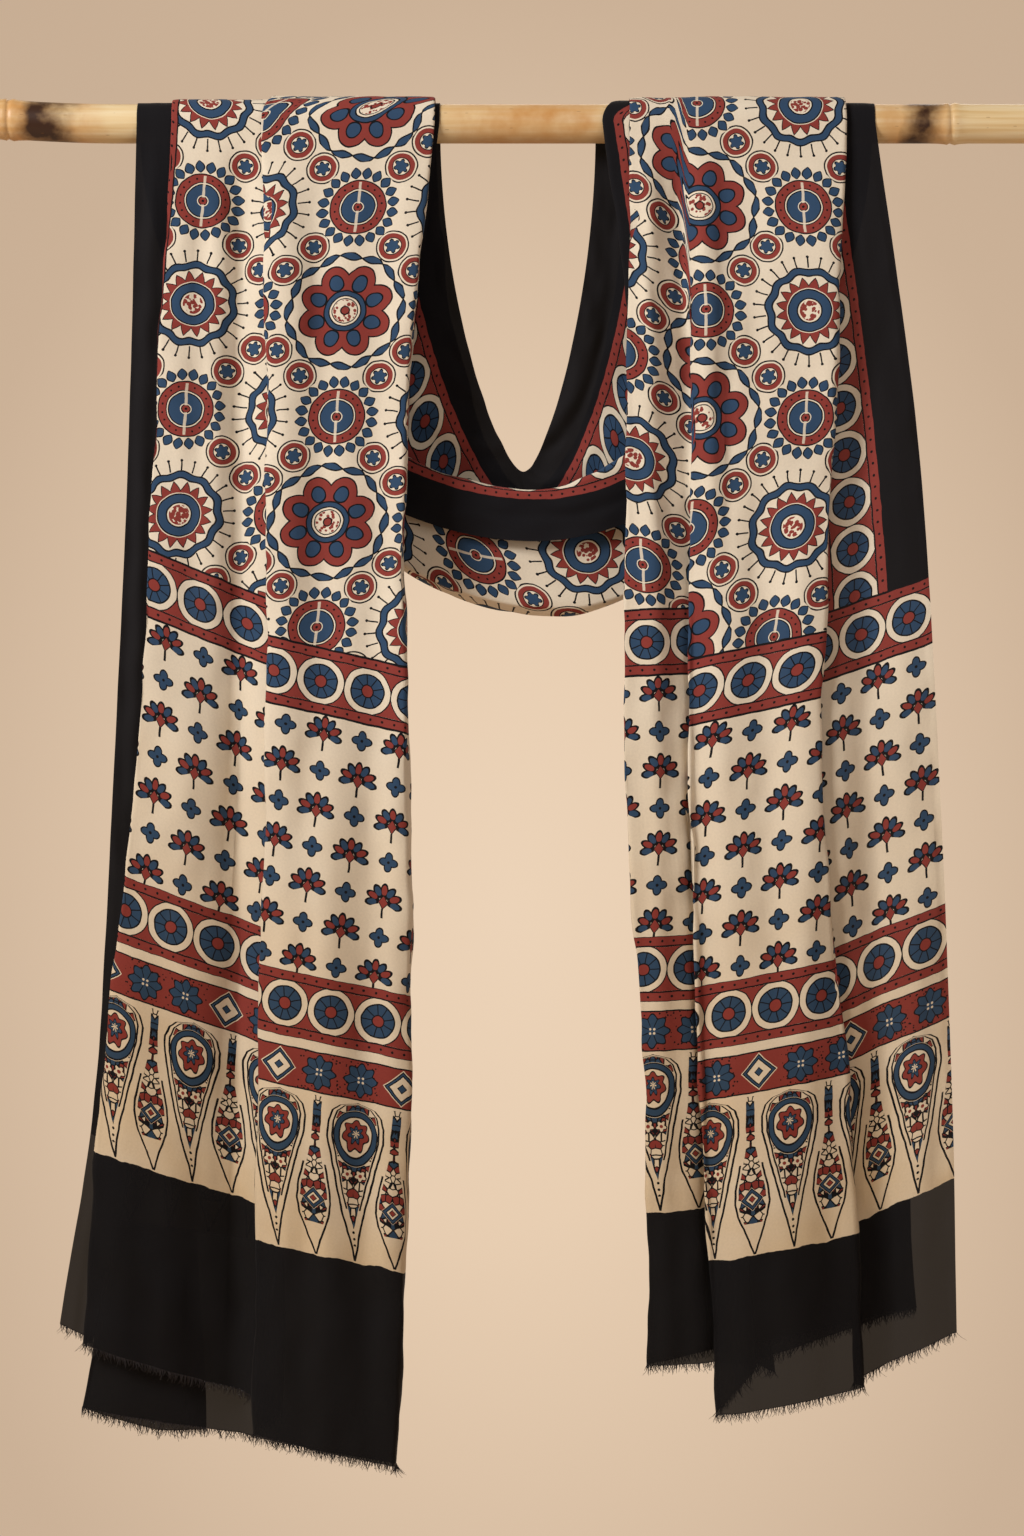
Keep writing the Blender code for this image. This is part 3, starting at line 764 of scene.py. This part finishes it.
def folded(places, layers, steps):
    """A folded section: the place across and the layer of each column, rounded at every fold."""
    moves = [there - here for here, there in zip(places, places[1:])]
    lengths = [max(abs(move), LEAST_LENGTH) for move in moves]
    ways = [math.copysign(1.0, move) for move in moves]
    rounds = fold_rounds(lengths, ways)
    turns = [max(length, RUN_LEAST) for length in lengths]
    folds = np.concatenate([[0.0], np.cumsum(turns)])
    across, depth = [], []
    for run, length in enumerate(lengths):
        for step in (*steps, 1.0) if run == len(lengths) - 1 else steps:
            share = share_of_run(step, length)
            start, end = share * length, (1 - share) * length
            short_start = math.hypot(start, rounds[run]) - start
            short_end = math.hypot(end, rounds[run + 1]) - end
            across.append(places[run] + ways[run] * (start + short_start - short_end))
            here = folds[run] + share * turns[run]
            passed = 0.5 + 0.5 * np.tanh((here - folds[1:-1]) / FOLD_TURN)
            depth.append(layers[0] + float(np.dot(passed, np.diff(layers[:-1]))))
    return np.array(across), np.array(depth)


def along_runs(places, values, steps):
    """Values given at the folds, read at each column."""
    at = []
    for run in range(len(places) - 1):
        length = max(abs(places[run + 1] - places[run]), LEAST_LENGTH)
        at += [run + share_of_run(step, length) for step in steps]
    return np.interp([*at, len(places) - 1], range(len(values)), values)


def smooth_step(value):
    held = np.clip(value, 0.0, 1.0)
    return held * held * (3 - 2 * held)


def wave(across, height):
    """How far the soft waves bring the cloth towards the viewer."""
    grown = smooth_step((WAVE_TOP - height) / (WAVE_TOP - WAVE_FULL))
    total = np.zeros_like(across)
    for place, rise, half in WAVES:
        total += rise * MM * np.exp(-(((across - place * MM) / (half * MM)) ** 2))
    return grown * total


def creases(across, height):
    """How far the fine creases bring the cloth towards the viewer."""
    total = np.zeros_like(across)
    for at_rod, at_hem, top, bottom, rise, half in CREASES:
        place = (at_rod + (at_hem - at_rod) * height / HEMS_ABOUT) * MM
        come = smooth_step((top * MM + 0.02 - height) / 0.08)
        go = smooth_step((height - bottom * MM + 0.06) / 0.12)
        total += rise * MM * come * go * np.exp(-(((across - place) / (half * MM)) ** 2))
    return total


def through(levels, rows, height):
    """A smooth curve through the values that the levels give, read at each column's height."""
    slopes = [(rows[1] - rows[0]) / (levels[1] - levels[0])]
    for at in range(1, len(rows) - 1):
        slopes.append((rows[at + 1] - rows[at - 1]) / (levels[at + 1] - levels[at - 1]))
    slopes.append((rows[-1] - rows[-2]) / (levels[-1] - levels[-2]))
    result = np.array(rows[-1], dtype=float)
    for at in range(len(rows) - 1):
        span = levels[at + 1] - levels[at]
        share = (height - levels[at]) / span
        inside = (share >= 0) & (share <= 1)
        t = np.clip(share, 0, 1)
        value = (
            rows[at] * (1 + 2 * t) * (1 - t) ** 2
            + rows[at + 1] * t * t * (3 - 2 * t)
            + slopes[at] * span * t * (1 - t) ** 2
            - slopes[at + 1] * span * t * t * (1 - t)
        )
        result = np.where(inside, value, result)
    return result


def hanging_end(folds, steps, rows, crease_depth):
    """The part of the cloth in front of the rod, as rows of points from the hem up to the axis."""
    sections = []
    for level in range(len(LEVELS) + 1):
        places = [row[1 + level] * MM for row in folds]
        hang = min(level, HANGING_FROM) / HANGING_FROM
        layers = [row[7] * (1 - hang) + row[8] * hang for row in folds]
        sections.append(folded(places, layers, steps))
    hems = along_runs([row[5] * MM for row in folds], [row[6] * MM for row in folds], steps)
    levels = [np.full_like(hems, level) for level in LEVELS] + [hems]
    rows_made = []
    for share in np.linspace(1.0, 0.0, rows):
        height = hems * share
        across = through(levels, [section[0] for section in sections], height)
        layer = through(levels, [section[1] for section in sections], height)
        free = smooth_step(-height / FREE_BELOW)
        pitch = ROD_PITCH + (FALL_PITCH - ROD_PITCH) * free
        away = FIRST_LAYER + pitch * layer
        creased = smooth_step(-height / CREASED_BELOW) * creases(across, height)
        front = away + wave(across, height) + crease_depth * creased
        rows_made.append(np.stack([across, -front, height], axis=1))
    return rows_made


def over_rod(folds, steps, rows):
    """The cloth on the rod's upper half, as rows of points from the front to the back."""
    made = []
    for share in np.linspace(0, 1, rows + 1)[1:]:
        moved = smooth_step(share)
        places = [(row[1] * (1 - moved) + row[9] * moved) * MM for row in folds]
        across, layer = folded(places, [row[7] for row in folds], steps)
        away = FIRST_LAYER + ROD_PITCH * layer
        angle = math.pi * share
        made.append(np.stack([across, -away * math.cos(angle), away * math.sin(angle)], axis=1))
    return made


def swag_middle(steps):
    """The swag's lowest section as one row of points, with the sweep of each column."""
    heights = [row[2] * MM for row in SWAG_FOLDS]
    height, depth = folded(heights, [row[3] * MM for row in SWAG_FOLDS], steps)
    along = along_runs(heights, [row[1] * MM for row in SWAG_FOLDS], steps)
    sweep = along_runs(heights, [row[4] for row in SWAG_FOLDS], steps)
    return np.stack([along, depth, height], axis=1), sweep


def swag_half(crossing, middle, sweep, rows):
    """Rows of points from the back of the rod, where the cloth drops straight down, to the middle."""
    reach = middle - crossing
    start = np.zeros_like(reach)
    start[:, 2] = SWAG_DROP * reach[:, 2]
    end = np.zeros_like(reach)
    end[:, 0] = sweep * reach[:, 0]
    made = []
    for t in np.linspace(0, 1, rows + 1)[1:]:
        made.append(
            crossing * (1 + 2 * t) * (1 - t) ** 2
            + middle * t * t * (3 - 2 * t)
            + start * t * (1 - t) ** 2
            - end * t * t * (1 - t)
        )
    return made


def grid_normals(grid):
    normals = np.cross(np.gradient(grid, axis=0), np.gradient(grid, axis=1))
    return normals / np.maximum(np.linalg.norm(normals, axis=2, keepdims=True), 1e-12)


def sheet_rows(crease_depth):
    """The sheet as rows of points from the left hem to the right hem, and the row that leaves the rod."""
    beside = RUN_COLUMNS // 4
    steps = [
        *np.linspace(0, BESIDE_FOLD, beside, endpoint=False),
        *np.linspace(BESIDE_FOLD, 1 - BESIDE_FOLD, RUN_COLUMNS - 2 * beside, endpoint=False),
        *np.linspace(1 - BESIDE_FOLD, 1, beside, endpoint=False),
    ]
    left = hanging_end(LEFT_FOLDS, steps, FALL_ROWS, crease_depth)
    left += over_rod(LEFT_FOLDS, steps, ROD_ROWS)
    right = hanging_end(RIGHT_FOLDS, steps, FALL_ROWS, crease_depth)
    right += over_rod(RIGHT_FOLDS, steps, ROD_ROWS)
    crossing = len(left) - 1
    middle, sweep = swag_middle(steps)
    left += swag_half(left[-1], middle, sweep, SWAG_ROWS)
    right += swag_half(right[-1], middle, sweep, SWAG_ROWS)[:-1]
    return np.array(left + right[::-1]), crossing


def cloth_grid():
    """The sheet as a grid of points, with where each lies on the flat cloth and its way to the inner
    selvedge, all in metres. Those are measured on the sheet before it is creased, so that a crease
    doesn't skew the print."""
    grid, crossing = sheet_rows(CREASE_DEPTH)
    plain, _ = sheet_rows(0.0)
    across_steps = np.linalg.norm(np.diff(plain, axis=1), axis=2)
    from_outer = np.concatenate([np.zeros((len(grid), 1)), np.cumsum(across_steps, axis=1)], axis=1)
    from_inner = from_outer[:, -1:] - from_outer
    along_steps = np.linalg.norm(np.diff(plain, axis=0), axis=2)
    ways = np.concatenate([np.zeros((1, grid.shape[1])), np.cumsum(along_steps, axis=0)], axis=0)
    length = CLOTH_LENGTH * MM
    right_crossing = len(grid) - 1 - crossing
    from_left = ways
    from_right = length - (ways[-1:] - ways)
    first, last = from_left[crossing], from_right[right_crossing]
    span = (ways - ways[crossing]) / (ways[right_crossing] - ways[crossing])
    between = first + (last - first) * np.clip(span, 0, 1)
    index = np.arange(len(grid))[:, None]
    along = np.where(index <= crossing, from_left, np.where(index >= right_crossing, from_right, between))
    return crumpled(grid, from_outer, along), from_outer, from_inner, along


def crumpled(grid, across, along):
    """Small soft dents all over, and long wrinkles that run along the swag."""
    rng = np.random.default_rng(7)
    dents = np.zeros(across.shape)
    for size, rise in ((90, 0.75), (60, 0.6), (38, 0.45), (24, 0.35), (15, 0.2)):
        for _ in range(5):
            turn = rng.uniform(0, math.tau)
            phase = rng.uniform(0, math.tau)
            way = (across * math.cos(turn) * 1.7 + along * math.sin(turn) * 0.6) / (size * MM)
            dents += rise * MM * 0.45 * np.sin(math.tau * way + phase)
    in_swag = smooth_step((grid[:, :, 1] - 0.005) / 0.02) * smooth_step((-grid[:, :, 2] - 0.02) / 0.1)
    for size, rise in ((42, 1.4), (27, 1.0), (17, 0.6)):
        phase = rng.uniform(0, math.tau)
        bend = 0.25 * np.sin(along * 9 + phase)
        dents += in_swag * rise * MM * np.sin(math.tau * (across / (size * MM) + bend) + phase)
    off_rod = smooth_step(np.abs(grid[:, :, 2]) / 0.08)
    return grid + grid_normals(grid) * (dents * (0.15 + 0.85 * off_rod))[:, :, None]


def drape():
    """The cloth itself, one sheet."""
    grid, from_outer, from_inner, along = cloth_grid()
    count_v, count_u = along.shape
    index = np.arange(count_v * count_u).reshape(count_v, count_u)
    faces = np.stack([index[:-1, :-1], index[1:, :-1], index[1:, 1:], index[:-1, 1:]], axis=2)
    cloth = new_object("ajrakh_sheet", grid.reshape(-1, 3), faces.reshape(-1, 4).tolist(), printed_cotton())
    corners = np.empty(len(cloth.data.loops), dtype=np.int32)
    cloth.data.loops.foreach_get("vertex_index", corners)
    for name, first, second in (("cloth", from_outer, along), ("edges", from_inner, along)):
        layer = cloth.data.uv_layers.new(name=name)
        values = np.stack([first.reshape(-1)[corners], second.reshape(-1)[corners]], axis=1)
        layer.data.foreach_set("uv", values.astype(np.float32).reshape(-1))
    return cloth, grid


def frayed_threads(name, hem, down):
    """Loose warp threads along one raw hem: three-sided, thin, each with its own bend."""
    rng = np.random.default_rng(len(name))
    points, faces = [], []
    ways = np.concatenate([[0.0], np.cumsum(np.linalg.norm(np.diff(hem, axis=0), axis=1))])
    for place in np.arange(0, ways[-1], 0.6 * MM):
        at = place + rng.uniform(-0.3, 0.3) * MM
        root = np.array([np.interp(at, ways, hem[:, axis]) for axis in range(3)])
        length = rng.uniform(3.0, 7.5) * MM
        lean = np.array([rng.normal(0, 0.35), rng.normal(0, 0.25), -1.0])
        lean /= np.linalg.norm(lean)
        bend = np.array([rng.normal(0, 0.3), rng.normal(0, 0.25), 0.0])
        first = len(points)
        for part in range(4):
            share = part / 3
            middle = root + np.array([0, 0, 0.6 * MM]) + lean * length * share + bend * length * share * share
            wide = 0.34 * MM * (1 - 0.6 * share)
            for side in range(3):
                turn = math.tau * side / 3
                points.append(middle + wide * np.array([math.cos(turn), math.sin(turn), 0]))
        for part in range(3):
            for side in range(3):
                a = first + part * 3 + side
                b = first + part * 3 + (side + 1) % 3
                faces.append((a, b, b + 3, a + 3))
        faces.append((first + 9, first + 10, first + 11))
    return new_object(name, points, faces, down)


def bamboo_cane():
    """The cane, with a raised ring and a groove at each node, and its two sawn ends."""
    sides, half = 72, ROD_LENGTH / 2
    stations = [(place, ROD_RADIUS) for place in np.linspace(-half, half, 121)]
    stations = [row for row in stations if all(abs(row[0] - ring) > 15 * MM for ring in RING_PLACES)]
    stations += [(ring + at * MM, ROD_RADIUS + rise * MM) for ring in RING_PLACES for at, rise in RING_SHAPE]
    points, faces = [], []
    for place, radius in sorted(stations):
        lift = ROD_BOW * smooth_step((place - BOW_START) / (-half - BOW_START))
        for side in range(sides):
            turn = math.tau * side / sides
            points.append((place, radius * math.cos(turn), lift + radius * math.sin(turn)))
    for row in range(len(stations) - 1):
        for side in range(sides):
            a, b = row * sides + side, row * sides + (side + 1) % sides
            faces.append((a, b, b + sides, a + sides))
    faces.append(tuple(reversed(range(sides))))
    last = (len(stations) - 1) * sides
    faces.append(tuple(range(last, last + sides)))
    cane = new_object("bamboo_cane", points, faces, flamed_bamboo())
    cane.data.materials.append(sawn_bamboo())
    for face in list(cane.data.polygons)[-2:]:
        face.material_index = 1
        face.use_smooth = False
    return cane


def backdrop():
    """A warm studio backdrop, lit in the middle behind the cloth, with a dimmer room in front of it."""
    world = bpy.data.worlds.new("backdrop")
    bpy.context.scene.world = world
    world.use_nodes = True
    tree = world.node_tree
    put = functools.partial(add, tree)
    way = put("SeparateXYZ", put("TexCoord")).node
    aside, _ = polar(put, put("Math MULTIPLY", way.outputs[0], 1.5),
                     put("Math ADD", way.outputs[2], 0.03))
    ground = put("ValToRGB", aside, stops=[
        (0.0, linear("#ECD3B8")), (0.07, linear("#E8CEB2")), (0.2, linear("#CBB197")),
        (0.5, linear("#B79E86")), (1.0, linear("#A28B75"))])
    level = put("MapRange", way.outputs[1], -0.3, 0.2, ROOM_LEVEL, 1.0)
    background = tree.nodes["Background"]
    tree.links.new(ground, background.inputs["Color"])
    tree.links.new(level, background.inputs["Strength"])


def studio():
    """The backdrop, a pale floor, soft light and the camera."""
    backdrop()
    floor_mesh = bpy.data.meshes.new("floor")
    reach, low = FLOOR_REACH, FLOOR_HEIGHT
    floor_mesh.from_pydata(
        [(-reach, -reach, low), (reach, -reach, low), (reach, reach, low), (-reach, reach, low)],
        [], [(0, 1, 2, 3)])
    floor = bpy.data.objects.new("floor", floor_mesh)
    made, _, _, shader = new_material("pale_floor")
    shader.inputs["Base Color"].default_value = linear("#E2CBB2")
    shader.inputs["Roughness"].default_value = 0.9
    floor_mesh.materials.append(made)
    bpy.context.scene.collection.objects.link(floor)
    for name, place, size, power, colour in LIGHTS:
        light = bpy.data.lights.new(name, "AREA")
        light.size = size
        light.energy = power
        light.color = colour
        lamp = bpy.data.objects.new(name, light)
        lamp.location = place
        aim = np.array([0.0, 0.0, -0.4]) - np.array(place)
        lamp.rotation_euler = (
            math.atan2(math.hypot(aim[0], aim[1]), -aim[2]), 0.0, math.atan2(aim[1], aim[0]) - math.pi / 2)
        bpy.context.scene.collection.objects.link(lamp)
    camera = bpy.data.objects.new("camera", bpy.data.cameras.new("camera"))
    middle = -(PHOTO_HEIGHT / 2 - ROD_AXIS_PIXEL) * PHOTO_SCALE
    camera.location = (0.0, CLOTH_FRONT - CAMERA_AWAY, middle)
    camera.rotation_euler = (math.pi / 2, 0.0, 0.0)
    camera.data.sensor_fit = "VERTICAL"
    camera.data.sensor_height = SENSOR
    camera.data.lens = SENSOR * CAMERA_AWAY / (PHOTO_HEIGHT * PHOTO_SCALE)
    bpy.context.scene.collection.objects.link(camera)
    bpy.context.scene.camera = camera
    bpy.context.scene.view_settings.view_transform = "Standard"


def main():
    studio()
    cloth, grid = drape()
    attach(cloth, "root")
    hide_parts("ajrakh_cloth")
    thread = black_thread()
    left_fray = frayed_threads("left_hem_fray", grid[0], thread)
    right_fray = frayed_threads("right_hem_fray", grid[-1], thread)
    for fray in (left_fray, right_fray):
        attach(fray, "root")
    cane = bamboo_cane()
    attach(cane, "root")
    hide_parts("bamboo_rod")


main()
